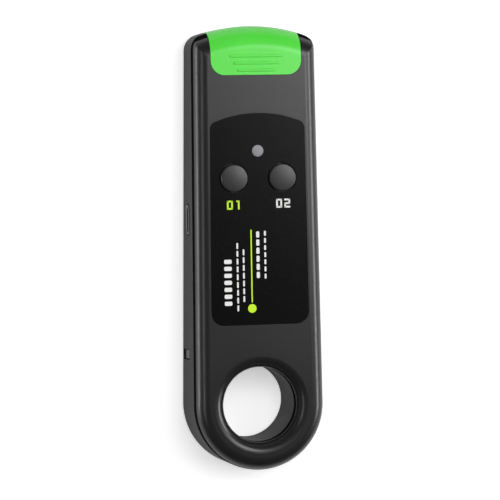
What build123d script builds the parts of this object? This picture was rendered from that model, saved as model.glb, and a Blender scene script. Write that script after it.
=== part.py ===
from build123d import *
import os
from math import atan, atan2, cos, sin, sqrt

os.makedirs("parts", exist_ok=True)

# Pocket visual fault locator, lying on its back: the back rests on Z = 0, +Y points to the green
# head and +X to the right of the face. The casing is a slim wedge, thicker towards the finger ring.
# Places on it are given in the plane of the face: x across, y towards the head, depth below the face.

# Casing
body_length = 137.5
body_width = 40.8
side_taper_share = 0.009
head_thickness = 17.0
tail_thickness = 23.5
head_arch_radius = 52.0
head_corner_radius = 5.0
face_round = 4.0
crown_round = 7.0
crown_arc = 30.0
back_round = 3.0
wall = 1.7
split_depth = 4.6
seam_height = 0.35
seam_depth = 0.5
overrun = 1.0

# Finger ring
ring_band = 8.8
ring_front_round = 3.4
ring_back_round = 2.0
ring_wall = 2.2

# General clearances
film_clearance = 0.12
screw_clearance = 0.15
running_clearance = 0.05
seat_clearance = 0.05
cover_clearance = 0.15
cover_gap = 0.3

# Head cover and its hinge
cover_margin = 6.05
cover_length = 15.25
cover_corner_radius = 4.4
cover_wall = 1.8
rib_width = 0.8
rib_height = 0.4
rib_round = 0.2
rib_pitch = 2.17
rib_top_rise = 5.8
rib_top_length = 16.7
rib_step = 2.4
rib_count = 3
hinge_from_end = 2.35
hinge_above_back = 2.4
knuckle_radius = 1.75
knuckle_half_width = 7.5
pin_radius = 0.6
pin_margin = 1.85
lug_gap = 0.3
lug_radius = 2.4

# Ports in the head
port_x = -5.5
torch_x = 6.0
port_depth = 8.4
end_wall_set_back = 6.15
ferrule_radius = 1.25
sleeve_wall = 0.35
sleeve_length = 10.6
sleeve_slit = 0.3
collar_radius = 2.9
collar_flange_radius = 3.6
collar_flange = 1.5
collar_mouth_radius = 1.4
collar_lip = 1.0
collar_set_back = 1.1
light_path_radius = 0.9
barrel_radius = 3.8
barrel_length = 13.5
barrel_bore_radius = 3.0
collar_web = 1.5
barrel_front = 1.0
barrel_rib = 1.5
barrel_rib_half_width = 2.5
barrel_rib_shares = (0.2, 0.7)
lens_thickness = 2.0
lens_bulge = 0.7
lens_from_diode = 4.5
diode_base = 1.2
diode_can_radius = 2.2
diode_can = 2.5
diode_inset = 0.6
torch_radius = 2.5
torch_flange_radius = 2.9
torch_flange = 1.0
torch_set_back = 0.5
leg_width = 0.5
leg_pitch = 2.54
leg_overlap = 2.0
seal_radius = 2.1
seal_front_gap = 0.35

# Panel film
film_margin = 4.7
film_above_ring = 24.9
film_from_head = 27.0
film_arch = 3.2
film_bottom_radius = 4.0
film_top_radius = 2.5
film_thickness = 0.3
film_recess = 0.35

# Buttons and lamp
button_x = 7.67
button_below_peak = 19.9
button_radius = 4.24
button_height = 0.8
button_edge_round = 0.4
button_gap = 0.38
button_flange_radius = 5.3
button_flange = 0.9
button_travel = 0.5
button_stem_radius = 1.6
lamp_above_buttons = 8.3
lamp_radius = 1.76
lamp_height = 0.1
lamp_flange_radius = 2.4
lamp_flange = 0.8
lamp_stem_radius = 1.2
lamp_led_width = 1.6
lamp_led_height = 0.7

# Main board and what it carries
board_margin = 3.4
board_above_ring = 24.25
board_laser_gap = 2.2
board_depth = 8.2
board_thickness = 1.2
board_corner_radius = 1.5
board_boss_margin = 6.9
board_boss_inset = 4.5
board_boss_radius = 1.9
board_screw_radius = 0.7
board_screw_head_radius = 1.5
board_screw_head = 0.9
board_screw_length = 3.8
switch_width = 6.0
switch_height = 3.4
plunger_radius = 1.75
plunger_show = 0.4
plunger_entry = 0.6
chip_x = 0.5
chip_below_buttons = 18.05
chip_length = 6.0
chip_width = 5.0
chip_height = 1.2
charger_x = -8.0
charger_below_buttons = 13.05
charger_width = 4.0
charger_height = 0.9

# USB-C socket
usb_below_buttons = 12.7
usb_width = 8.94
usb_height = 3.2
usb_length = 7.3
usb_wall = 0.3
usb_inset = 0.4
usb_opening_width = 10.0
usb_opening_height = 4.4
tongue_width = 6.7
tongue_thickness = 0.7
tongue_length = 4.4
tongue_root = 1.6
contact_width = 0.3
contact_pitch = 0.85
contact_length = 3.4
contact_thickness = 0.06
contact_count = 7

# Latches
latch_above_ring = 15.5
latch_window_height = 3.2
latch_window_depth = 10.8
latch_window_length = 7.2
latch_width = 2.6
latch_arm = 1.4
latch_gap = 0.4
latch_set_back = 0.55

# Case screws
case_boss_margin = 6.2
case_boss_from_head = 24.45
case_boss_radius = 2.6
case_post_radius = 3.0
case_joint_depth = 7.6
case_post_end = 1.6
case_screw_radius = 1.0
case_screw_head_radius = 1.9
case_screw_head = 1.4
case_screw_bite = 3.4
screw_slot_width = 0.5
screw_slot_depth = 0.5

# Battery and leads
cell_margin = 8.6
cell_above_ring = 21.25
cell_shorter = 14.0
cell_thickness = 5.0
cell_round = 1.2
cell_gap = 0.3
rail_width = 1.2
rail_height = 2.5
rail_length = 30.0
rail_inset = 4.0
pad_thickness = 0.5
pad_margin = 3.0
plug_x = 8.0
plug_width = 6.0
plug_length = 5.0
plug_height = 3.2
plug_from_cell = 6.0
lead_radius = 0.45
lead_bend = 2.7
lead_pitch = 3.0
lead_run = 4.2
fine_lead_radius = 0.35
fine_lead_pitch = 2.2
fine_lead_rise = 1.1
fine_lead_start = 3.0
fine_lead_slope = 4.0
fine_lead_landing = 4.0
fine_lead_bend = 15.0

# Measures that follow from the sizes above
half_width = body_width / 2
half_length = body_length / 2
ring_y = half_width - half_length
lean = atan2(tail_thickness - head_thickness, body_length)
mid_thickness = (head_thickness + tail_thickness) / 2
arch_centre_y = half_length - head_arch_radius
tail_side_x = half_width * cos(atan(side_taper_share))
tail_side_y = ring_y + half_width * sin(atan(side_taper_share))
side_root_x = tail_side_x + side_taper_share * tail_side_y
arch_sum = arch_centre_y + side_taper_share * side_root_x
taper_square = 1 + side_taper_share**2
arch_rest = side_root_x**2 + arch_centre_y**2 - head_arch_radius**2
shoulder_y = (arch_sum + sqrt(arch_sum**2 - taper_square * arch_rest)) / taper_square
# The leaning end walls reach a little past the ends of the face, which moves the middle in Y.
tail_reach = (tail_thickness - back_round) * sin(lean)
crown_reach = crown_round * sin(lean)
middle_y = (tail_reach + crown_reach) / 2

face = Plane(
    origin=(0, middle_y, mid_thickness),
    x_dir=(1, 0, 0),
    z_dir=(0, sin(lean), cos(lean)),
)
floor = Plane.XY
outward = Axis(face.origin, face.z_dir)
arch_axis = Axis(face.from_local_coords((0, arch_centre_y, 0)), face.z_dir)

# Places across the width, from the sides inwards
ring_hole_radius = half_width - ring_band
cover_half_width = half_width - cover_margin
board_half_width = half_width - board_margin
board_boss_x = half_width - board_boss_margin
case_boss_x = half_width - case_boss_margin
cell_half_width = half_width - cell_margin
pin_half_length = cover_half_width - pin_margin

# Places along the length, from the head, the ring or the piece that they belong to
cover_bottom_y = half_length - cover_length
rib_top_y = cover_bottom_y + rib_top_rise
end_wall_y = half_length - end_wall_set_back
case_boss_y = half_length - case_boss_from_head
film_peak_y = half_length - film_from_head
film_shoulder_y = film_peak_y - film_arch
film_bottom_y = ring_y + film_above_ring
button_y = film_peak_y - button_below_peak
lamp_y = button_y + lamp_above_buttons
chip_y = button_y - chip_below_buttons
charger_y = button_y - charger_below_buttons
usb_y = button_y - usb_below_buttons
latch_y = ring_y + latch_above_ring
hinge_y = half_length - hinge_from_end
hinge_depth = head_thickness - hinge_above_back
under_cover = cover_wall + cover_gap
knuckle_clear = hinge_from_end + cover_clearance

# Chain of the laser along the length, from its mouth in the head inwards
port_surface = arch_centre_y + sqrt((head_arch_radius - under_cover) ** 2 - port_x**2)
collar_end = port_surface - collar_set_back
sleeve_end = collar_end - collar_lip
sleeve_start = sleeve_end - sleeve_length
barrel_end = sleeve_start - collar_web
barrel_start = barrel_end - barrel_length

board_head_y = barrel_start - board_laser_gap
board_tail_y = ring_y + board_above_ring
board_length = board_head_y - board_tail_y
board_boss_head_y = board_head_y - board_boss_inset
board_boss_tail_y = board_tail_y + board_boss_inset
cell_tail_y = ring_y + cell_above_ring
cell_length = board_length - cell_shorter
rail_y = cell_tail_y + rail_inset + rail_length / 2
plug_tail_y = cell_tail_y + plug_from_cell


def level(depth):
    """Plane parallel to the face at this depth; its sketches are drawn in x and y."""
    return face.offset(-depth)


def across(x):
    """Plane square to the width at this x; its sketches are drawn in y and minus depth."""
    return Plane(origin=face.from_local_coords((x, 0, 0)), x_dir=face.y_dir, z_dir=face.x_dir)


def along(y):
    """Plane square to the length at this y; its sketches are drawn in x and depth."""
    return Plane(origin=face.from_local_coords((0, y, 0)), x_dir=face.x_dir, z_dir=face.y_dir)


def back_depth(y):
    """Depth of the back below the face at this y."""
    return (mid_thickness - y * sin(lean)) / cos(lean)


def side_x(y):
    """Half the width of the casing at this y, ahead of the ring."""
    return side_root_x - side_taper_share * y


# Plan of the casing: an arched head with rounded corners, sides that draw in towards it and a round tail
with BuildSketch() as casing_plan:
    with BuildLine():
        Line((tail_side_x, tail_side_y), (side_x(shoulder_y), shoulder_y))
        ThreePointArc(
            (side_x(shoulder_y), shoulder_y), (0, half_length), (-side_x(shoulder_y), shoulder_y)
        )
        Line((-side_x(shoulder_y), shoulder_y), (-tail_side_x, tail_side_y))
        ThreePointArc((-tail_side_x, tail_side_y), (0, -half_length), (tail_side_x, tail_side_y))
    make_face()
    fillet(casing_plan.vertices().group_by(Axis.Y)[-1], head_corner_radius)


def crown_cut(inset):
    """What the crown rounding takes off the arched end, for a form moved inward by inset."""
    crown = crown_round - inset
    start_y = half_length - crown_round
    end_y = half_length + overrun
    with BuildPart() as cut:
        with BuildSketch(across(0)):
            with BuildLine():
                Line((start_y, -inset), (start_y, overrun))
                Line((start_y, overrun), (end_y, overrun))
                Line((end_y, overrun), (end_y, -crown_round))
                Line((end_y, -crown_round), (half_length - inset, -crown_round))
                CenterArc((start_y, -crown_round), crown, 0, 90)
            make_face()
        revolve(axis=arch_axis, revolution_arc=crown_arc)
        mirror(about=Plane.YZ)
    return cut.part


def casing_form(inset):
    """The casing's rounded outer form, moved inward by inset on every side."""
    with BuildPart() as form:
        with BuildSketch(level(inset)):
            add(casing_plan.sketch)
            if inset:
                offset(amount=-inset, mode=Mode.REPLACE)
        extrude(amount=-2 * tail_thickness)
        fillet(form.faces().sort_by(outward)[-1].edges(), face_round - inset)
        add(crown_cut(inset), mode=Mode.SUBTRACT)
        split(bisect_by=floor.offset(inset), keep=Keep.TOP)
        fillet(form.faces().sort_by(Axis.Z)[0].edges(), back_round - inset)
    return form.part


def post(x, y, radius, top, bottom):
    """A round solid square to the face, between two depths."""
    with BuildPart() as shape:
        with BuildSketch(level(bottom)):
            with Locations((x, y)):
                Circle(radius)
        extrude(amount=bottom - top)
    return shape.part


def rod(x, depth, radius, start, end):
    """A round solid along the length, between two places in y."""
    with BuildPart() as shape:
        with BuildSketch(along(start)):
            with Locations((x, depth)):
                Circle(radius)
        extrude(amount=end - start)
    return shape.part


def pin(y, depth, radius, start, end):
    """A round solid across the width, between two places in x."""
    with BuildPart() as shape:
        with BuildSketch(across(start)):
            with Locations((y, -depth)):
                Circle(radius)
        extrude(amount=end - start)
    return shape.part


def block(x_low, x_high, y_low, y_high, top, bottom):
    """A box square to the face, between two depths."""
    with BuildPart() as shape:
        with BuildSketch(level(bottom)):
            with Locations(((x_low + x_high) / 2, (y_low + y_high) / 2)):
                Rectangle(x_high - x_low, y_high - y_low)
        extrude(amount=bottom - top)
    return shape.part


def save(piece, name):
    """Name a finished piece and write it."""
    piece.label = name
    export_step(piece, f"parts/{name}.step")


# The outer form of the casing, with the finger ring through it
outer = casing_form(0)
with BuildPart() as casing:
    add(outer)
    add(post(0, ring_y, ring_hole_radius, -overrun, 2 * tail_thickness), mode=Mode.SUBTRACT)
    fillet(casing.faces().sort_by(Axis.Z)[0].inner_wires()[0].edges(), ring_back_round)
    fillet(casing.faces().sort_by(outward)[-1].inner_wires()[0].edges(), ring_front_round)


def cover_window(clearance):
    """The space in front of the hinge that the head cover fills, wider by a clearance."""
    side = cover_half_width + clearance
    low = cover_bottom_y - clearance
    high = half_length + overrun
    with BuildPart() as window:
        with BuildSketch(level(hinge_depth)) as opening:
            with Locations((0, (low + high) / 2)):
                Rectangle(2 * side, high - low)
            fillet(opening.vertices().group_by(Axis.Y)[0], cover_corner_radius + clearance)
        extrude(amount=hinge_depth + overrun)
    return window.part


# Room for the head cover: a step in the casing, lugs for the pin and a slot for the knuckle
knuckle_slot = knuckle_half_width + lug_gap
with BuildPart() as cover_room:
    add(cover_window(cover_clearance))
    add(casing_form(under_cover), mode=Mode.SUBTRACT)
    for side in (-1, 1):
        lug = pin(hinge_y, hinge_depth, lug_radius, side * knuckle_slot, side * half_width)
        add(lug, mode=Mode.SUBTRACT)
    add(pin(hinge_y, hinge_depth, knuckle_clear, -knuckle_slot, knuckle_slot))
    add(
        block(
            -knuckle_slot,
            knuckle_slot,
            hinge_y - knuckle_clear,
            half_length + overrun,
            hinge_depth,
            2 * tail_thickness,
        )
    )

# The casing with the step for the head cover, still in one piece
with BuildPart() as stepped_casing:
    add(casing.part)
    add(cover_room.part, mode=Mode.SUBTRACT)

# Plan of the panel film
film_shoulder_x = side_x(film_shoulder_y) - film_margin
film_bottom_x = side_x(film_bottom_y) - film_margin
with BuildSketch() as film_plan:
    with BuildLine():
        Line((-film_shoulder_x, film_shoulder_y), (-film_bottom_x, film_bottom_y))
        Line((-film_bottom_x, film_bottom_y), (film_bottom_x, film_bottom_y))
        Line((film_bottom_x, film_bottom_y), (film_shoulder_x, film_shoulder_y))
        ThreePointArc(
            (film_shoulder_x, film_shoulder_y), (0, film_peak_y), (-film_shoulder_x, film_shoulder_y)
        )
    make_face()
    fillet(film_plan.vertices().group_by(Axis.Y)[-1], film_top_radius)
    fillet(film_plan.vertices().group_by(Axis.Y)[0], film_bottom_radius)

# Front shell: a shallow moulding with bosses for the board, the case screws and the latches
root_depth = wall - film_recess
button_hole_radius = button_radius + button_gap
lamp_hole_radius = lamp_radius + running_clearance
front_cavity_end = cover_bottom_y - cover_clearance - wall
seat_depth = case_joint_depth + case_post_end
screw_tip_depth = case_joint_depth - case_screw_bite
board_back = board_depth + board_thickness
board_screw_tip = board_back - board_screw_length
board_bosses = [
    (side * board_boss_x, y) for side in (-1, 1) for y in (board_boss_tail_y, board_boss_head_y)
]
case_bosses = [(side * case_boss_x, case_boss_y) for side in (-1, 1)]
latch_outer = half_width - latch_set_back
latch_arm_outer = half_width - wall - latch_gap
latch_end = latch_window_depth + latch_window_length - latch_gap
rib_places = [barrel_start + share * barrel_length for share in barrel_rib_shares]

with BuildPart() as front_cavity:
    add(casing_form(wall))
    add(
        block(
            -half_width,
            half_width,
            front_cavity_end,
            half_length,
            -overrun,
            2 * tail_thickness,
        ),
        mode=Mode.SUBTRACT,
    )
    add(post(0, ring_y, half_width, -overrun, 2 * tail_thickness), mode=Mode.SUBTRACT)

with BuildPart() as front_shell:
    add(stepped_casing.part)
    split(bisect_by=level(split_depth), keep=Keep.TOP)
    add(front_cavity.part, mode=Mode.SUBTRACT)
    with BuildSketch(level(film_recess)):
        add(film_plan.sketch)
        offset(amount=film_clearance, mode=Mode.REPLACE)
    extrude(amount=film_recess + overrun, mode=Mode.SUBTRACT)
    for side in (-1, 1):
        hole = post(side * button_x, button_y, button_hole_radius, -overrun, split_depth)
        add(hole, mode=Mode.SUBTRACT)
    add(post(0, lamp_y, lamp_hole_radius, -overrun, split_depth), mode=Mode.SUBTRACT)
    for x, y in case_bosses:
        add(post(x, y, case_boss_radius, root_depth, case_joint_depth))
        pilot = post(x, y, case_screw_radius, screw_tip_depth - seat_clearance, case_joint_depth)
        add(pilot, mode=Mode.SUBTRACT)
    for x, y in board_bosses:
        add(post(x, y, board_boss_radius, root_depth, board_depth))
        pilot = post(x, y, board_screw_radius, board_screw_tip - seat_clearance, board_depth)
        add(pilot, mode=Mode.SUBTRACT)
    for y in rib_places:
        add(
            block(
                port_x - barrel_rib_half_width,
                port_x + barrel_rib_half_width,
                y,
                y + barrel_rib,
                root_depth,
                port_depth - barrel_radius - seat_clearance,
            )
        )
    for side in (-1, 1):
        arm_x = sorted((side * (latch_arm_outer - latch_arm), side * latch_arm_outer))
        nose_x = sorted((side * (latch_arm_outer - latch_arm), side * latch_outer))
        low_y = latch_y - latch_width / 2
        high_y = latch_y + latch_width / 2
        add(block(*arm_x, low_y, high_y, root_depth, latch_end))
        add(block(*nose_x, low_y, high_y, latch_window_depth + latch_gap, latch_end))
save(front_shell.part, "front_shell")

# Back shell: a deep tub with posts for the case screws, saddles for the laser and battery rails
usb_depth = board_back + usb_height / 2
cell_low = wall + pad_thickness
with BuildPart() as back_cavity:
    add(casing_form(wall))
    add(
        block(-half_width, half_width, end_wall_y, half_length, -overrun, 2 * tail_thickness),
        mode=Mode.SUBTRACT,
    )
    add(
        post(0, ring_y, ring_hole_radius + ring_wall, -overrun, 2 * tail_thickness),
        mode=Mode.SUBTRACT,
    )

with BuildPart() as back_shell:
    add(stepped_casing.part)
    split(bisect_by=level(split_depth), keep=Keep.BOTTOM)
    add(back_cavity.part, mode=Mode.SUBTRACT)
    with BuildSketch(level(split_depth + seam_height)):
        add(casing_plan.sketch)
        offset(amount=overrun, mode=Mode.REPLACE)
        offset(casing_plan.sketch, amount=-seam_depth, mode=Mode.SUBTRACT)
    extrude(amount=seam_height, mode=Mode.SUBTRACT)
    for x, y in case_bosses:
        add(post(x, y, case_post_radius, case_joint_depth, back_depth(y) - wall / 2))
        bore = post(x, y, case_screw_radius + screw_clearance, case_joint_depth, seat_depth)
        add(bore, mode=Mode.SUBTRACT)
        head_room = case_screw_head_radius + screw_clearance
        add(post(x, y, head_room, seat_depth, 2 * tail_thickness), mode=Mode.SUBTRACT)
    for y in rib_places:
        add(
            block(
                port_x - barrel_radius,
                port_x + barrel_radius,
                y,
                y + barrel_rib,
                port_depth,
                back_depth(y) - wall / 2,
            )
        )
    add(
        rod(port_x, port_depth, barrel_radius + seat_clearance, barrel_start, barrel_end),
        mode=Mode.SUBTRACT,
    )
    add(
        rod(port_x, port_depth, collar_radius + seat_clearance, barrel_end, half_length),
        mode=Mode.SUBTRACT,
    )
    add(
        rod(torch_x, port_depth, torch_radius + seat_clearance, end_wall_y, half_length),
        mode=Mode.SUBTRACT,
    )
    for side in (-1, 1):
        with BuildSketch(floor.offset(wall / 2)):
            with Locations((side * (cell_half_width + cell_gap + rail_width / 2), rail_y)):
                Rectangle(rail_width, rail_length)
        extrude(amount=wall / 2 + rail_height)
    for side in (-1, 1):
        window_x = sorted((side * (half_width - 2 * wall), side * (half_width + overrun)))
        add(
            block(
                *window_x,
                latch_y - latch_window_height / 2,
                latch_y + latch_window_height / 2,
                latch_window_depth,
                latch_window_depth + latch_window_length,
            ),
            mode=Mode.SUBTRACT,
        )
    with BuildSketch(across(-half_width - overrun)):
        with Locations((usb_y, -usb_depth)):
            SlotOverall(usb_opening_width, usb_opening_height)
    extrude(amount=2 * wall + overrun, mode=Mode.SUBTRACT)
    pin_seat = pin_half_length + seat_clearance
    add(pin(hinge_y, hinge_depth, pin_radius, -pin_seat, pin_seat), mode=Mode.SUBTRACT)
save(back_shell.part, "back_shell")

# Panel film: a printed film laid in the step of the front shell
with BuildPart() as label_overlay:
    with BuildSketch(level(film_recess)):
        add(film_plan.sketch)
        with Locations((-button_x, button_y), (button_x, button_y)):
            Circle(button_hole_radius, mode=Mode.SUBTRACT)
        with Locations((0, lamp_y)):
            Circle(lamp_hole_radius, mode=Mode.SUBTRACT)
    extrude(amount=film_thickness)
save(label_overlay.part, "label_overlay")

# Head cover: a moulded hood with three thumb ribs that swings on a steel pin behind the ports
with BuildPart() as dust_cap:
    add(outer)
    add(cover_window(0), mode=Mode.INTERSECT)
    add(casing_form(cover_wall), mode=Mode.SUBTRACT)
    for side in (-1, 1):
        clear = pin(
            hinge_y,
            hinge_depth,
            lug_radius + cover_clearance,
            side * knuckle_half_width,
            side * half_width,
        )
        add(clear, mode=Mode.SUBTRACT)
    add(pin(hinge_y, hinge_depth, knuckle_radius, -knuckle_half_width, knuckle_half_width))
    knuckle_bore = pin_radius + running_clearance
    add(
        pin(hinge_y, hinge_depth, knuckle_bore, -knuckle_half_width, knuckle_half_width),
        mode=Mode.SUBTRACT,
    )
    for number in range(rib_count):
        with BuildSketch(level(0)):
            with Locations((0, rib_top_y - number * rib_pitch)):
                SlotOverall(rib_top_length - number * rib_step, rib_width)
        extrude(amount=rib_height)
    rib_tops = dust_cap.faces().group_by(outward)[-1]
    fillet(rib_tops.edges(), rib_round)
save(dust_cap.part, "dust_cap")

# Pin of the head cover, held in blind holes in the lugs
save(pin(hinge_y, hinge_depth, pin_radius, -pin_half_length, pin_half_length), "cap_hinge_pin")

# Soft seal on the inside of the cover, over the mouth of the port
with BuildPart() as cap_seal:
    add(rod(port_x, port_depth, seal_radius, collar_end + seal_front_gap, half_length))
    add(casing_form(cover_wall), mode=Mode.INTERSECT)
save(cap_seal.part, "cap_seal")

# Port collar: a turned metal collar in the end wall that lines the fibre up with the laser
sleeve_radius = ferrule_radius + sleeve_wall
with BuildPart() as port_collar:
    add(rod(port_x, port_depth, collar_radius, barrel_end, collar_end))
    add(rod(port_x, port_depth, collar_flange_radius, end_wall_y - collar_flange, end_wall_y))
    add(rod(port_x, port_depth, sleeve_radius, sleeve_start, sleeve_end), mode=Mode.SUBTRACT)
    add(rod(port_x, port_depth, collar_mouth_radius, sleeve_end, collar_end), mode=Mode.SUBTRACT)
    add(rod(port_x, port_depth, light_path_radius, barrel_end, sleeve_start), mode=Mode.SUBTRACT)
save(port_collar.part, "port_collar")

# Ferrule sleeve: a slit ceramic tube for a 2.5 mm ferrule
with BuildPart() as ferrule_sleeve:
    add(rod(port_x, port_depth, sleeve_radius, sleeve_start, sleeve_end))
    add(rod(port_x, port_depth, ferrule_radius, sleeve_start, sleeve_end), mode=Mode.SUBTRACT)
    add(
        block(
            port_x - sleeve_slit / 2,
            port_x + sleeve_slit / 2,
            sleeve_start,
            sleeve_end,
            port_depth,
            port_depth + collar_radius,
        ),
        mode=Mode.SUBTRACT,
    )
save(ferrule_sleeve.part, "ferrule_sleeve")

# Laser barrel: a turned tube that holds the diode and the lens behind the collar
bore_end = barrel_end - barrel_front
with BuildPart() as laser_barrel:
    add(rod(port_x, port_depth, barrel_radius, barrel_start, barrel_end))
    add(rod(port_x, port_depth, barrel_bore_radius, barrel_start, bore_end), mode=Mode.SUBTRACT)
    add(rod(port_x, port_depth, light_path_radius, bore_end, barrel_end), mode=Mode.SUBTRACT)
save(laser_barrel.part, "laser_barrel")

# Laser diode: a round metal can on a wider base
diode_start = barrel_start + diode_inset
can_start = diode_start + diode_base
can_end = can_start + diode_can
fitted_radius = barrel_bore_radius - seat_clearance
with BuildPart() as laser_diode:
    add(rod(port_x, port_depth, fitted_radius, diode_start, can_start))
    add(rod(port_x, port_depth, diode_can_radius, can_start, can_end))
save(laser_diode.part, "laser_diode")

# Collimating lens: flat towards the diode, bulged towards the fibre
lens_start = can_end + lens_from_diode
lens_edge = lens_start + lens_thickness
port_axis = Axis(face.from_local_coords((port_x, 0, -port_depth)), face.y_dir)
with BuildPart() as laser_lens:
    with BuildSketch(across(port_x)):
        with BuildLine():
            Line((lens_start, -port_depth), (lens_start, fitted_radius - port_depth))
            Line((lens_start, fitted_radius - port_depth), (lens_edge, fitted_radius - port_depth))
            Spline(
                (lens_edge, fitted_radius - port_depth),
                (lens_edge + lens_bulge, -port_depth),
                tangents=[(1, -1), (0, -1)],
            )
            Line((lens_edge + lens_bulge, -port_depth), (lens_start, -port_depth))
        make_face()
    revolve(axis=port_axis)
save(laser_lens.part, "laser_lens")

# Torch LED: a round-nosed clear body with a flange behind the end wall, and its two legs
torch_surface = arch_centre_y + sqrt((head_arch_radius - under_cover) ** 2 - torch_x**2)
torch_tip = torch_surface - torch_set_back
torch_axis = Axis(face.from_local_coords((torch_x, 0, -port_depth)), face.y_dir)
flange_start = end_wall_y - torch_flange
with BuildPart() as torch_led:
    with BuildSketch(across(torch_x)):
        with BuildLine():
            Line((flange_start, -port_depth), (flange_start, torch_flange_radius - port_depth))
            Line(
                (flange_start, torch_flange_radius - port_depth),
                (end_wall_y, torch_flange_radius - port_depth),
            )
            Line(
                (end_wall_y, torch_flange_radius - port_depth),
                (end_wall_y, torch_radius - port_depth),
            )
            Line(
                (end_wall_y, torch_radius - port_depth),
                (torch_tip - torch_radius, torch_radius - port_depth),
            )
            CenterArc((torch_tip - torch_radius, -port_depth), torch_radius, 0, 90)
            Line((torch_tip, -port_depth), (flange_start, -port_depth))
        make_face()
    revolve(axis=torch_axis)
save(torch_led.part, "torch_led")

with BuildPart() as torch_led_legs:
    for side in (-1, 1):
        leg_x = torch_x + side * leg_pitch / 2
        add(
            block(
                leg_x - leg_width / 2,
                leg_x + leg_width / 2,
                board_head_y - leg_overlap,
                flange_start,
                board_depth - leg_width,
                board_depth,
            )
        )
save(torch_led_legs.part, "torch_led_legs")

# Main board, screwed to the bosses of the front shell
with BuildPart() as main_board:
    with BuildSketch(level(board_back)) as board_plan:
        with Locations((0, board_tail_y + board_length / 2)):
            Rectangle(2 * board_half_width, board_length)
        fillet(board_plan.vertices(), board_corner_radius)
        with Locations(*board_bosses):
            Circle(board_screw_radius + screw_clearance, mode=Mode.SUBTRACT)
    extrude(amount=board_thickness)
save(main_board.part, "main_board")

# Two push buttons, each over its own switch on the board
switch_top = board_depth - switch_height
plunger_top = switch_top - button_travel - plunger_show
flange_top = wall + running_clearance
flange_low = flange_top + button_flange
for side, name in ((-1, "vfl"), (1, "led")):
    x = side * button_x
    with BuildPart() as button:
        add(post(x, button_y, button_radius, -button_height, flange_top))
        fillet(button.faces().sort_by(outward)[-1].edges(), button_edge_round)
        add(post(x, button_y, button_flange_radius, flange_top, flange_low))
        add(post(x, button_y, button_stem_radius, flange_low, plunger_top))
    save(button.part, f"{name}_button")
    with BuildPart() as switch_body:
        add(
            block(
                x - switch_width / 2,
                x + switch_width / 2,
                button_y - switch_width / 2,
                button_y + switch_width / 2,
                switch_top,
                board_depth,
            )
        )
        well = plunger_entry + button_travel + seat_clearance
        add(
            post(x, button_y, plunger_radius + running_clearance, switch_top, switch_top + well),
            mode=Mode.SUBTRACT,
        )
    save(switch_body.part, f"{name}_switch_body")
    plunger = post(x, button_y, plunger_radius, plunger_top, switch_top + plunger_entry)
    save(plunger, f"{name}_switch_plunger")

# Indicator: a milky light pipe in the panel over a small LED
lamp_led_top = board_depth - lamp_led_height
with BuildPart() as indicator_light_pipe:
    add(post(0, lamp_y, lamp_radius, -lamp_height, flange_top))
    add(post(0, lamp_y, lamp_flange_radius, flange_top, flange_top + lamp_flange))
    add(post(0, lamp_y, lamp_stem_radius, flange_top, lamp_led_top - seat_clearance))
save(indicator_light_pipe.part, "indicator_light_pipe")
save(
    block(
        -lamp_led_width / 2,
        lamp_led_width / 2,
        lamp_y - lamp_led_width / 2,
        lamp_y + lamp_led_width / 2,
        lamp_led_top,
        board_depth,
    ),
    "indicator_led",
)

# Chips on the front of the board
save(
    block(
        chip_x - chip_width / 2,
        chip_x + chip_width / 2,
        chip_y - chip_length / 2,
        chip_y + chip_length / 2,
        board_depth - chip_height,
        board_depth,
    ),
    "control_chip",
)
save(
    block(
        charger_x - charger_width / 2,
        charger_x + charger_width / 2,
        charger_y - charger_width / 2,
        charger_y + charger_width / 2,
        board_depth - charger_height,
        board_depth,
    ),
    "charging_chip",
)

# USB-C socket under the left edge of the board: metal shell, tongue and contacts
usb_mouth = -(half_width - usb_inset)
usb_back = usb_mouth + usb_length
with BuildPart() as usb_shell:
    with BuildSketch(across(usb_mouth)):
        with Locations((usb_y, -usb_depth)):
            SlotOverall(usb_width, usb_height)
            SlotOverall(usb_width - 2 * usb_wall, usb_height - 2 * usb_wall, mode=Mode.SUBTRACT)
    extrude(amount=usb_length)
save(usb_shell.part, "usb_shell")

tongue_start = usb_back - tongue_root - tongue_length
with BuildPart() as usb_tongue:
    with BuildSketch(across(usb_back - tongue_root)):
        with Locations((usb_y, -usb_depth)):
            SlotOverall(usb_width - 2 * usb_wall, usb_height - 2 * usb_wall)
    extrude(amount=tongue_root)
    with BuildSketch(across(tongue_start)):
        with Locations((usb_y, -usb_depth)):
            Rectangle(tongue_width, tongue_thickness)
    extrude(amount=tongue_length)
save(usb_tongue.part, "usb_tongue")

contact_end = usb_back - tongue_root
with BuildPart() as usb_contacts:
    for number in range(contact_count):
        y = usb_y + (number - (contact_count - 1) / 2) * contact_pitch
        for edge in (-1, 1):
            near = usb_depth + edge * tongue_thickness / 2
            depths = sorted((near, near + edge * contact_thickness))
            add(
                block(
                    contact_end - contact_length,
                    contact_end,
                    y - contact_width / 2,
                    y + contact_width / 2,
                    *depths,
                )
            )
save(usb_contacts.part, "usb_contacts")

# Battery: a flat cell on a foam pad on the floor of the back shell
cell_y = cell_tail_y + cell_length / 2
with BuildPart() as battery_cell:
    with BuildSketch(floor.offset(cell_low)):
        with Locations((0, cell_y)):
            RectangleRounded(2 * cell_half_width, cell_length, cell_round)
    extrude(amount=cell_thickness)
    fillet(battery_cell.faces().sort_by(Axis.Z)[-1].edges(), cell_round)
save(battery_cell.part, "battery_cell")

with BuildPart() as battery_pad:
    with BuildSketch(floor.offset(wall)):
        with Locations((0, cell_y)):
            Rectangle(2 * (cell_half_width - pad_margin), cell_length - 2 * pad_margin)
    extrude(amount=pad_thickness)
save(battery_pad.part, "battery_pad")

save(
    block(
        plug_x - plug_width / 2,
        plug_x + plug_width / 2,
        plug_tail_y,
        plug_tail_y + plug_length,
        board_back,
        board_back + plug_height,
    ),
    "battery_connector",
)

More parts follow.
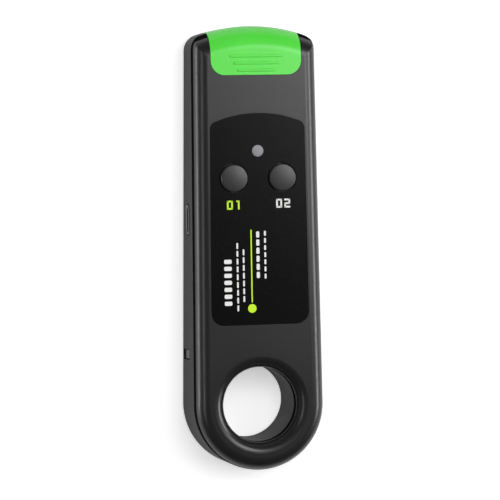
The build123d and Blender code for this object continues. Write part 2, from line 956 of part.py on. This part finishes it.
# Battery leads: from the tail end of the cell up to the connector under the board
for side, name in ((-1, "red"), (1, "black")):
    x = plug_x + side * lead_pitch / 2
    start = face.to_local_coords(Vector(x, cell_tail_y, cell_low + cell_thickness / 2))
    turn_y = start.Y - lead_run
    plug_depth = board_back + plug_height / 2
    with BuildPart() as lead:
        with BuildLine(across(x)) as route:
            FilletPolyline(
                (start.Y - seat_clearance, start.Z),
                (turn_y, start.Z),
                (turn_y, -plug_depth),
                (plug_tail_y, -plug_depth),
                radius=lead_bend,
            )
        with BuildSketch(Plane(origin=route.line @ 0, z_dir=route.line % 0)):
            Circle(lead_radius)
        sweep()
    save(lead.part, f"battery_lead_{name}")

# Laser leads: from the back of the diode down on to the front of the board
lead_depth = port_depth - fine_lead_rise
land_depth = board_depth - fine_lead_radius - seat_clearance
for side, name in ((-1, "red"), (1, "black")):
    with BuildPart() as lead:
        with BuildLine(across(port_x + side * fine_lead_pitch / 2)) as route:
            FilletPolyline(
                (diode_start, -lead_depth),
                (diode_start - fine_lead_start, -lead_depth),
                (diode_start - fine_lead_start - fine_lead_slope, -land_depth),
                (diode_start - fine_lead_start - fine_lead_slope - fine_lead_landing, -land_depth),
                radius=fine_lead_bend,
            )
        with BuildSketch(Plane(origin=route.line @ 0, z_dir=route.line % 0)):
            Circle(fine_lead_radius)
        sweep()
    save(lead.part, f"laser_lead_{name}")


def screw(x, y, radius, head_radius, tip, seat, head):
    """A pan-head screw square to the face, driven from the back, with a crossed recess."""
    with BuildPart() as shape:
        add(post(x, y, radius, tip, seat))
        add(post(x, y, head_radius, seat, seat + head))
        with BuildSketch(level(seat + head)):
            with Locations((x, y)):
                Rectangle(head_radius, screw_slot_width)
                Rectangle(screw_slot_width, head_radius)
        extrude(amount=screw_slot_depth, mode=Mode.SUBTRACT)
    return shape.part


with BuildPart() as case_screws:
    for x, y in case_bosses:
        sizes = (case_screw_radius, case_screw_head_radius, screw_tip_depth, seat_depth)
        add(screw(x, y, *sizes, case_screw_head))
save(case_screws.part, "case_screws")

with BuildPart() as board_screws:
    for x, y in board_bosses:
        sizes = (board_screw_radius, board_screw_head_radius, board_screw_tip, board_back)
        add(screw(x, y, *sizes, board_screw_head))
save(board_screws.part, "board_screws")
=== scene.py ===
import math

import bmesh
import bpy
from mathutils import Matrix, Vector


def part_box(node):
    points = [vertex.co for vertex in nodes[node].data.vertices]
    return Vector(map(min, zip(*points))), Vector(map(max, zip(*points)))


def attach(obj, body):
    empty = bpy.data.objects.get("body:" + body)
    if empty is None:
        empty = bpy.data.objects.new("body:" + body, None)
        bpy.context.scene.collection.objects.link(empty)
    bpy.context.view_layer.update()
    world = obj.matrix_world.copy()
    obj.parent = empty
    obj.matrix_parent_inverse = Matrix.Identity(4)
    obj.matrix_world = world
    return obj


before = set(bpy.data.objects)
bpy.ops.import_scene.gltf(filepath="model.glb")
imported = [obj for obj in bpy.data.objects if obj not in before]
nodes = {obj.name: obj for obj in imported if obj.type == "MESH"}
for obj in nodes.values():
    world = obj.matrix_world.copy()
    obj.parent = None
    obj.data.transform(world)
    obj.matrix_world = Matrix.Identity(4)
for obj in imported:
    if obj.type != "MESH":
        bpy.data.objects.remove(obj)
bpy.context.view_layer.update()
mm = 0.001


# Casing: a front and a back shell moulded in black ABS with a fine spark texture, closed
# by two latches at the ring end and two screws at the head. The shells are polished a
# little round the ring, where the finger goes, and a matt black band of painted shade lies along the parting
# line between them.
class Reading:
    """A number or colour that changes over a surface, so that it can be used in plain sums."""

    def __init__(self, finish, socket):
        self.finish = finish
        self.socket = socket

    def worked(self, operation, first, second):
        return self.finish.node("ShaderNodeMath", {"operation": operation}, {0: first, 1: second})

    def __add__(self, other):
        return self.worked("ADD", self, other)

    __radd__ = __add__

    def __sub__(self, other):
        return self.worked("SUBTRACT", self, other)

    def __rsub__(self, other):
        return self.worked("SUBTRACT", other, self)

    def __mul__(self, other):
        return self.worked("MULTIPLY", self, other)

    __rmul__ = __mul__


class Finish:
    """One finish of the tester, with its detail drawn in metres over the piece."""

    def __init__(self, name, **uniform):
        self.material = bpy.data.materials.new(name)
        self.material.use_nodes = True
        self.tree = self.material.node_tree
        self.shader = self.tree.nodes["Principled BSDF"]
        self.place = self.node("ShaderNodeTexCoord", output="Object")
        for socket, value in uniform.items():
            self.shader.inputs[socket.replace("_", " ")].default_value = value

    def node(self, kind, settings=None, sockets=None, output=0):
        """Adds a node, sets it, and fills its sockets with numbers or readings."""
        made = self.tree.nodes.new(kind)
        for name, value in (settings or {}).items():
            setattr(made, name, value)
        for name, value in (sockets or {}).items():
            if isinstance(value, Reading):
                self.tree.links.new(value.socket, made.inputs[name])
            else:
                made.inputs[name].default_value = value
        return Reading(self, made.outputs[output])

    def feed(self, **sockets):
        """Joins what changes over the surface to the shader."""
        for name, value in sockets.items():
            self.tree.links.new(value.socket, self.shader.inputs[name.replace("_", " ")])

    def speckle(self, size, detail=2.0, place=None):
        """Soft noise from 0 to 1 whose spots are about size across."""
        return self.node("ShaderNodeTexNoise", {}, {
            "Vector": place or self.place, "Scale": 1 / size, "Detail": detail})

    def ranged(self, reading, low, high, to_low, to_high):
        """The reading stretched from one range to another, and held inside it."""
        return self.node("ShaderNodeMapRange", {"clamp": True}, {
            "Value": reading, "From Min": low, "From Max": high, "To Min": to_low, "To Max": to_high})

    def spread(self, noise, low, high):
        """Noise, most of which lies between 0.3 and 0.7, stretched from low to high."""
        return self.ranged(noise, 0.3, 0.7, low, high)

    def mixed(self, share, first, second):
        """A colour between two colours."""
        return self.node("ShaderNodeMix", {"data_type": "RGBA"}, {0: share, 6: first, 7: second}, output=2)

    def raised(self, height, depth):
        """A surface whose height reading stands depth proud where it is 1."""
        return self.node("ShaderNodeBump", {}, {"Height": height, "Distance": depth, "Strength": 1.0})

    def measured(self, operation, vector):
        """A distance or a dot product of each point of the surface with one vector."""
        return self.node(
            "ShaderNodeVectorMath", {"operation": operation}, {0: self.place, 1: vector}, output="Value")

    def distance_from(self, place):
        """How far a point of the surface is from a place, in metres."""
        return self.measured("DISTANCE", place)

    def depth_below(self, level, upward):
        """How far a point lies under a sloping plane, in metres."""
        return level - self.measured("DOT_PRODUCT", upward)

    def cover_with(self, layer, share):
        """Lays another shader over the finish, where share is above 0."""
        skin = Reading(self, self.shader.outputs["BSDF"])
        joined = self.node("ShaderNodeMixShader", {}, {"Fac": share, 1: skin, 2: layer})
        self.tree.links.new(joined.socket, self.tree.nodes["Material Output"].inputs["Surface"])


def coat(piece, finish):
    """Gives a piece its finish."""
    piece.data.materials.clear()
    piece.data.materials.append(finish.material)


body_length = 137.5
head_thickness = 17.0
tail_thickness = 23.5
face_shift = 0.649
ring_y = -48.35
ring_mid_depth = 9.0
lean = math.atan2(tail_thickness - head_thickness, body_length)
face_middle = Vector((0, face_shift, (head_thickness + tail_thickness) / 2)) * mm
face_place = Matrix.Translation(face_middle) @ Matrix.Rotation(-lean, 4, "X")
face_upward = face_place.to_3x3() @ Vector((0, 0, 1))
face_level = face_middle.dot(face_upward)
ring_hub = face_place @ (Vector((0, ring_y, -ring_mid_depth)) * mm)
polish_full = 12 * mm
polish_end = 22 * mm
# Depths under the face where the band of painted shade along the parting line fades in and out.
seam_shade_starts = (2.5 * mm, 2.9 * mm)
seam_shade_ends = (4.9 * mm, 5.1 * mm)


def shell(name, grain_size, smooth, rough, relief, shine):
    """The plastic of one half: grained, smoother round the ring, with matt black painted shade along the
    parting line.
    """
    finish = Finish(name, Specular_IOR_Level=shine)
    texture = finish.speckle(grain_size, detail=3.0)
    drift = finish.speckle(size=24 * mm)
    handled = finish.ranged(finish.distance_from(ring_hub), polish_full, polish_end, 1.0, 0.0)
    finish.feed(
        Base_Color=finish.mixed(drift, (0.0120, 0.0122, 0.0125, 1), (0.0155, 0.0158, 0.0162, 1)),
        Roughness=finish.spread(texture, smooth, rough) + drift * 0.03 - handled * 0.03,
        Normal=finish.raised(texture, relief))
    # Painted shade: a matt black diffuse layer over a band about 2.5 to 5.1 mm under the face, along the
    # parting line, where the seam's shadow falls.
    depth = finish.depth_below(face_level, face_upward)
    seam_shade_band = finish.ranged(depth, *seam_shade_starts, 0, 1) - finish.ranged(depth, *seam_shade_ends, 0, 1)
    painted_seam_shade = finish.node("ShaderNodeBsdfDiffuse", {}, {"Color": (0.006, 0.006, 0.006, 1)})
    finish.cover_with(painted_seam_shade, seam_shade_band)
    return finish


coat(nodes["front_shell"], shell(
    "moulded_black_plastic", grain_size=0.22 * mm, smooth=0.27, rough=0.33, relief=0.006 * mm, shine=0.85))
coat(nodes["back_shell"], shell(
    "coarse_black_plastic", grain_size=0.3 * mm, smooth=0.46, rough=0.55, relief=0.009 * mm, shine=0.25))


# Panel film: a polycarbonate film with a fine matt grain, glued into a shallow recess in
# the face. It has two holes for the buttons and one for the lamp.
film = Finish("panel_film", Specular_IOR_Level=0.2)
grain = film.speckle(size=0.12 * mm)
cloud = film.speckle(size=30 * mm)
film.feed(
    Base_Color=film.mixed(cloud, (0.0026, 0.0023, 0.0023, 1), (0.0040, 0.0036, 0.0035, 1)),
    Roughness=film.spread(grain, 0.22, 0.30),
    Normal=film.raised(grain, depth=0.002 * mm))
coat(nodes["label_overlay"], film)


# Print: two screen inks on the film, given in millimetres from the middle of the face.
# Plain numbers, 01 and 02, stand under the buttons, and below them are rows of short
# bars and a thin line that ends in a disc.
film_top = -0.05 * mm
ink_thickness = 0.02 * mm
bar_round_share = 0.3


def ink(name, dark, light):
    """A flat ink with faint patches."""
    finish = Finish(name, Specular_IOR_Level=0.4)
    patch = finish.speckle(size=0.8 * mm)
    finish.feed(Base_Color=finish.mixed(patch, dark, light), Roughness=finish.spread(patch, 0.4, 0.5))
    return finish


def printed(name, shapes, finish):
    """One colour of print: flat shapes drawn on the film and raised to the ink's thickness."""
    mesh = bmesh.new()
    for draw in shapes:
        draw(mesh)
    raised = bmesh.ops.extrude_face_region(mesh, geom=mesh.faces[:])
    tops = [part for part in raised["geom"] if isinstance(part, bmesh.types.BMVert)]
    bmesh.ops.translate(mesh, vec=(0, 0, ink_thickness), verts=tops)
    bmesh.ops.translate(mesh, vec=(0, 0, film_top), verts=mesh.verts)
    bmesh.ops.transform(mesh, matrix=face_place, verts=mesh.verts)
    bmesh.ops.recalc_face_normals(mesh, faces=mesh.faces)
    data = bpy.data.meshes.new(name)
    mesh.to_mesh(data)
    mesh.free()
    piece = bpy.data.objects.new(name, data)
    bpy.context.scene.collection.objects.link(piece)
    coat(piece, finish)
    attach(piece, "casing")


def disc(x, y, radius):
    """A round spot of ink."""
    def draw(mesh):
        at = Matrix.Translation(Vector((x, y, 0)) * mm)
        bmesh.ops.create_circle(mesh, cap_ends=True, segments=48, radius=radius * mm, matrix=at)
    return draw


def bar(x, y, width, length):
    """A bar of ink with rounded corners."""
    def draw(mesh):
        at = Matrix.Translation(Vector((x, y, 0)) * mm)
        scale = Matrix.Diagonal((width * mm / 2, length * mm / 2, 1, 1))
        made = bmesh.ops.create_grid(mesh, x_segments=1, y_segments=1, size=1, matrix=at @ scale)
        bmesh.ops.bevel(
            mesh, geom=made["verts"], offset=bar_round_share * min(width, length) * mm,
            affect="VERTICES", segments=4, profile=0.5, material=-1)
    return draw


numeral_pitch = 2.6
stroke = 0.55
wide = 1.9
tall = 2.8
side = (wide - stroke) / 2
top = 1.12
stem_x = 0.2
nought = [(0, top, wide, stroke), (0, -top, wide, stroke), (side, 0, stroke, tall), (-side, 0, stroke, tall)]
one = [(stem_x, 0, stroke, tall), (-stem_x, 1.15, 0.8, 0.5)]
two = [(0, top, wide, stroke), (side, top / 2, stroke, top + stroke), (0, 0, wide, stroke),
       (-side, -top / 2, stroke, top + stroke), (0, -top, wide, stroke)]


def number(x, y, numerals):
    """Two numerals side by side about a middle, each drawn in strokes of (x, y, width, length)."""
    return [bar(x + numeral_pitch * (place - 0.5) + dx, y + dy, width, length)
            for place, strokes in enumerate(numerals) for dx, dy, width, length in strokes]


# A row of bars is given by its x, the y of its first bar, its pitch, a bar's width and
# length, and how many there are.
bar_rows = ((-10.05, -3.8, 2.15, 2.4, 1.3, 7),
            (-7.0, 1.0, 2.4, 0.55, 1.8, 9),
            (-5.05, -1.0, 2.4, 0.55, 1.8, 7),
            (-0.45, 4.4, 2.5, 1.0, 1.9, 6),
            (1.85, 4.7, 2.2, 0.6, 1.5, 7))
line_x = -2.55
lime_shapes = number(x=-7.8, y=13.6, numerals=(nought, one))
lime_shapes += [disc(line_x, y=-18.35, radius=1.35), bar(line_x, y=-5.3, width=0.4, length=22.4)]
white_shapes = number(x=7.85, y=13.85, numerals=(nought, two))
for x, first_y, pitch, width, length, count in bar_rows:
    white_shapes += [bar(x, first_y - pitch * place, width, length) for place in range(count)]
white_ink = ink("white_ink", (0.78, 0.78, 0.78, 1), (0.86, 0.86, 0.85, 1))
lime_ink = ink("lime_ink", (0.53, 0.85, 0.024, 1), (0.60, 0.94, 0.03, 1))
printed("lime_print", lime_shapes, lime_ink)
printed("white_print", white_shapes, white_ink)


# Buttons: two round keys in dark grey silicone-coated plastic, each held by a flange under
# the film and carried by the plunger of a small push switch. Their faces are crowned.
def crowned(finish, node, rise):
    """A height reading that falls from rise at the middle of a round piece to 0 at its rim."""
    low, high = (Vector(corner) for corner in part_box(node))
    reach = finish.distance_from((low + high) / 2) * (2 / (high - low).x)
    return (1 - reach * reach) * rise


for node in ("vfl_button", "led_button"):
    key = Finish(node + "_plastic", Specular_IOR_Level=0.9)
    grain = key.speckle(size=0.18 * mm)
    drift = key.speckle(size=5 * mm)
    key.feed(
        Base_Color=key.mixed(drift, (0.0185, 0.0188, 0.0192, 1), (0.0235, 0.0238, 0.0243, 1)),
        Roughness=key.spread(grain, 0.30, 0.38),
        Normal=key.raised(crowned(key, node, rise=0.9) + grain * 0.01, depth=0.4 * mm))
    coat(nodes[node], key)


# Lamp: a milky light pipe with a slightly domed top. It stands over the charging lamp on
# the board, held by its flange under the face, and comes out just above the film.
pipe = Finish("light_pipe", Specular_IOR_Level=0.5)
cloud = pipe.speckle(size=1.2 * mm)
pipe.feed(
    Base_Color=pipe.mixed(cloud, (0.22, 0.22, 0.235, 1), (0.27, 0.27, 0.285, 1)),
    Roughness=pipe.spread(cloud, 0.25, 0.4),
    Normal=pipe.raised(crowned(pipe, "indicator_light_pipe", rise=1.0), depth=0.15 * mm))
coat(nodes["indicator_light_pipe"], pipe)


# Head cover: green plastic moulded with three grip ribs, which turns on a steel pin at the
# back of the head. A rubber pad inside it closes the ferrule port.
cover = Finish("green_cover", Specular_IOR_Level=0.6)
grain = cover.speckle(size=0.2 * mm)
drift = cover.speckle(size=9 * mm)
cover.feed(
    Base_Color=cover.mixed(drift, (0.088, 0.69, 0.058, 1), (0.100, 0.74, 0.067, 1)),
    Roughness=cover.spread(grain, 0.22, 0.30),
    Normal=cover.raised(grain, depth=0.003 * mm))
coat(nodes["dust_cap"], cover)


# Metal pieces: the hinge pin, the screws and the socket's shell in bright steel, the
# collar of the port in nickel-plated brass, the laser barrel in turned brass.
def metal(name, dark, light, roughness):
    """A metal with fine scratches along the length of the tester."""
    finish = Finish(name, Metallic=1.0)
    stretched = finish.node("ShaderNodeMapping", {}, {"Vector": finish.place, "Scale": (1, 0.08, 1)})
    scratch = finish.speckle(size=0.15 * mm, detail=3.0, place=stretched)
    finish.feed(
        Base_Color=finish.mixed(scratch, dark, light),
        Roughness=finish.spread(scratch, roughness, roughness + 0.12),
        Normal=finish.raised(scratch, depth=0.002 * mm))
    return finish


steel = metal("bright_steel", (0.50, 0.50, 0.51, 1), (0.66, 0.66, 0.67, 1), roughness=0.26)
nickel = metal("nickel_plate", (0.60, 0.58, 0.55, 1), (0.72, 0.70, 0.66, 1), roughness=0.18)
brass = metal("turned_brass", (0.62, 0.46, 0.20, 1), (0.74, 0.56, 0.26, 1), roughness=0.24)
gold = metal("gold_plate", (0.78, 0.58, 0.22, 1), (0.86, 0.66, 0.28, 1), roughness=0.20)
black_steel = metal("black_steel", (0.035, 0.035, 0.037, 1), (0.06, 0.06, 0.062, 1), roughness=0.34)
for finish, members in ((steel, ("cap_hinge_pin", "usb_shell", "board_screws", "torch_led_legs")),
                        (nickel, ("port_collar",)), (brass, ("laser_barrel",)),
                        (gold, ("laser_diode", "usb_contacts")), (black_steel, ("case_screws",))):
    for node in members:
        coat(nodes[node], finish)


# Inner pieces: plain ceramic, rubber, glass, resin and nylon parts, the pouch cell on its
# foam pad, and the sleeves of the leads. Most of them show only when the casing is open.
def plain_stock(name, dark, light, size, roughness, relief=0.002, **uniform):
    """A finish with soft patches of two near colours and a little relief, sizes in millimetres."""
    finish = Finish(name, **uniform)
    patches = finish.speckle(size * mm, detail=3.0)
    finish.feed(
        Base_Color=finish.mixed(patches, dark, light),
        Roughness=finish.spread(patches, roughness, roughness + 0.1),
        Normal=finish.raised(patches, relief * mm))
    return finish


ceramic = plain_stock("white_ceramic", (0.78, 0.77, 0.73, 1), (0.86, 0.85, 0.81, 1), 1.0, 0.12)
rubber = plain_stock("black_rubber", (0.012, 0.012, 0.012, 1), (0.022, 0.022, 0.022, 1), 0.3, 0.62)
glass = plain_stock("lens_glass", (0.80, 0.85, 0.88, 1), (0.88, 0.92, 0.95, 1), 2.0, 0.03)
epoxy = plain_stock("clear_epoxy", (0.72, 0.74, 0.72, 1), (0.82, 0.84, 0.82, 1), 1.5, 0.06)
amber = plain_stock("amber_lamp", (0.55, 0.42, 0.12, 1), (0.7, 0.55, 0.18, 1), 0.4, 0.2)
mask = plain_stock("green_board", (0.006, 0.075, 0.03, 1), (0.01, 0.11, 0.045, 1), 3.0, 0.25)
chip = plain_stock("chip_resin", (0.012, 0.012, 0.013, 1), (0.022, 0.022, 0.023, 1), 0.15, 0.45)
nylon = plain_stock("white_nylon", (0.66, 0.65, 0.60, 1), (0.74, 0.73, 0.68, 1), 0.8, 0.38)
black_nylon = plain_stock("black_nylon", (0.014, 0.014, 0.015, 1), (0.026, 0.026, 0.027, 1), 0.4, 0.4)
foil = plain_stock("pouch_foil", (0.42, 0.44, 0.46, 1), (0.60, 0.62, 0.64, 1), 2.0, 0.3, 0.05, Metallic=0.8)
foam = plain_stock("grey_foam", (0.06, 0.06, 0.065, 1), (0.12, 0.12, 0.125, 1), 0.25, 0.8, 0.05)
red_sleeve = plain_stock("red_lead", (0.42, 0.018, 0.014, 1), (0.54, 0.028, 0.02, 1), 1.2, 0.36)
black_sleeve = plain_stock("black_lead", (0.014, 0.014, 0.014, 1), (0.024, 0.024, 0.024, 1), 1.2, 0.36)
for finish, members in ((ceramic, ("ferrule_sleeve",)), (rubber, ("cap_seal",)), (glass, ("laser_lens",)),
                        (epoxy, ("torch_led",)), (amber, ("indicator_led",)), (mask, ("main_board",)),
                        (chip, ("control_chip", "charging_chip")),
                        (nylon, ("battery_connector", "vfl_switch_plunger", "led_switch_plunger")),
                        (black_nylon, ("vfl_switch_body", "led_switch_body", "usb_tongue")),
                        (foil, ("battery_cell",)), (foam, ("battery_pad",)),
                        (red_sleeve, ("battery_lead_red", "laser_lead_red")),
                        (black_sleeve, ("battery_lead_black", "laser_lead_black"))):
    for node in members:
        coat(nodes[node], finish)


# Studio: a white sheet with turned-up edges. It glows for the camera, and a little in
# mirrored views, so it reads as white while the lamps stay low. Near the tester it glows
# less, so that the shadow shows there.
sheet_reach = 3.0
edge_height = 0.6
glow_near = 0.25
glow_far = 1.2
gloss_share = 0.35
air_strength = 0.05
bpy.context.scene.view_settings.view_transform = "Standard"
sheet = bmesh.new()
bmesh.ops.create_grid(sheet, x_segments=1, y_segments=1, size=sheet_reach)
upturned = bmesh.ops.extrude_edge_only(sheet, edges=sheet.edges[:])
rim = [part for part in upturned["geom"] if isinstance(part, bmesh.types.BMVert)]
bmesh.ops.translate(sheet, vec=(0, 0, edge_height), verts=rim)
sheet_data = bpy.data.meshes.new("studio_floor")
sheet.to_mesh(sheet_data)
sheet.free()
floor = bpy.data.objects.new("studio_floor", sheet_data)
bpy.context.scene.collection.objects.link(floor)
paper = Finish("white_paper", Roughness=0.9, Specular_IOR_Level=0.0, Emission_Strength=1.0)
tooth = paper.speckle(size=1.5 * mm)
looked_at, mirrored, looked_through = (
    paper.node("ShaderNodeLightPath", output=ray)
    for ray in ("Is Camera Ray", "Is Glossy Ray", "Is Transmission Ray"))
glow = paper.ranged(paper.distance_from((0, 0, 0)), glow_near, glow_far, 0.5, 1.0)
background = (looked_at + looked_through + mirrored * gloss_share) * glow
paper.feed(
    Base_Color=paper.mixed(tooth, (0.78, 0.78, 0.78, 1), (0.80, 0.80, 0.80, 1)),
    Emission_Color=paper.mixed(background, (0, 0, 0, 1), (1, 1, 1, 1)))
coat(floor, paper)

world = bpy.data.worlds.new("studio_air")
bpy.context.scene.world = world
world.use_nodes = True
air = world.node_tree.nodes["Background"]
air.inputs["Color"].default_value = (1, 1, 1, 1)
air.inputs["Strength"].default_value = air_strength
world.cycles_visibility.glossy = False


# Lamps: two soft ones light the tester without showing in its gloss. The key lamp and the
# strips draw the light bands along its rounded edges. Each is placed by its bearing from
# the head and its height above the sheet, in degrees, and by its distance in metres.
def lamp(name, bearing, height, distance, size, watts, in_gloss=True):
    """A rectangular lamp aimed at the tester."""
    data = bpy.data.lights.new(name, "AREA")
    data.shape = "RECTANGLE"
    data.size, data.size_y = size
    data.energy = watts
    made = bpy.data.objects.new(name, data)
    turn, rise = math.radians(bearing), math.radians(height)
    over_sheet = Vector((math.sin(turn), math.cos(turn), 0)) * math.cos(rise)
    made.location = distance * (over_sheet + Vector((0, 0, math.sin(rise))))
    made.rotation_euler = (-made.location).to_track_quat("-Z", "Y").to_euler()
    made.visible_glossy = in_gloss
    bpy.context.scene.collection.objects.link(made)


lamp("over_lamp", bearing=0, height=76, distance=0.8, size=(0.36, 0.36), watts=2.7, in_gloss=False)
lamp("fill_lamp", bearing=290, height=50, distance=0.8, size=(0.4, 0.4), watts=1.4, in_gloss=False)
lamp("key_lamp", bearing=58, height=59, distance=0.6, size=(0.24, 0.24), watts=0.80)
lamp("right_strip", bearing=90, height=30, distance=0.6, size=(0.34, 0.12), watts=1.0)
lamp("left_strip", bearing=270, height=2, distance=0.6, size=(0.34, 0.034), watts=0.60)
lamp("left_high_strip", bearing=270, height=50, distance=0.6, size=(0.34, 0.06), watts=0.22)


# Camera: the photograph's own, as fitted to the edges of the tester. It looks down on the
# face from a little to the left, and its place is in millimetres from a point of the face.
yaw, pitch, roll = (math.radians(angle) for angle in (14.34, 2.21, 1.00))
fitted_from = Vector((0, -1.45, 0))
fitted_place = Vector((-2.91, 1.04, 900.0))
focal_pixels = 2921
photo_pixels = 500
sensor_width = 36.0
turned = Matrix.Rotation(roll, 3, "Z") @ Matrix.Rotation(pitch, 3, "X") @ Matrix.Rotation(yaw, 3, "Y")
to_face = turned.transposed()
camera_data = bpy.data.cameras.new("photo_camera")
camera_data.sensor_width = sensor_width
camera_data.lens = focal_pixels * sensor_width / photo_pixels
camera_data.clip_start, camera_data.clip_end = 0.01, 20.0
camera = bpy.data.objects.new("photo_camera", camera_data)
bpy.context.scene.collection.objects.link(camera)
camera.rotation_euler = (face_place @ to_face.to_4x4()).to_euler()
camera.location = face_place @ ((fitted_from + to_face @ fitted_place) * mm)
bpy.context.scene.camera = camera
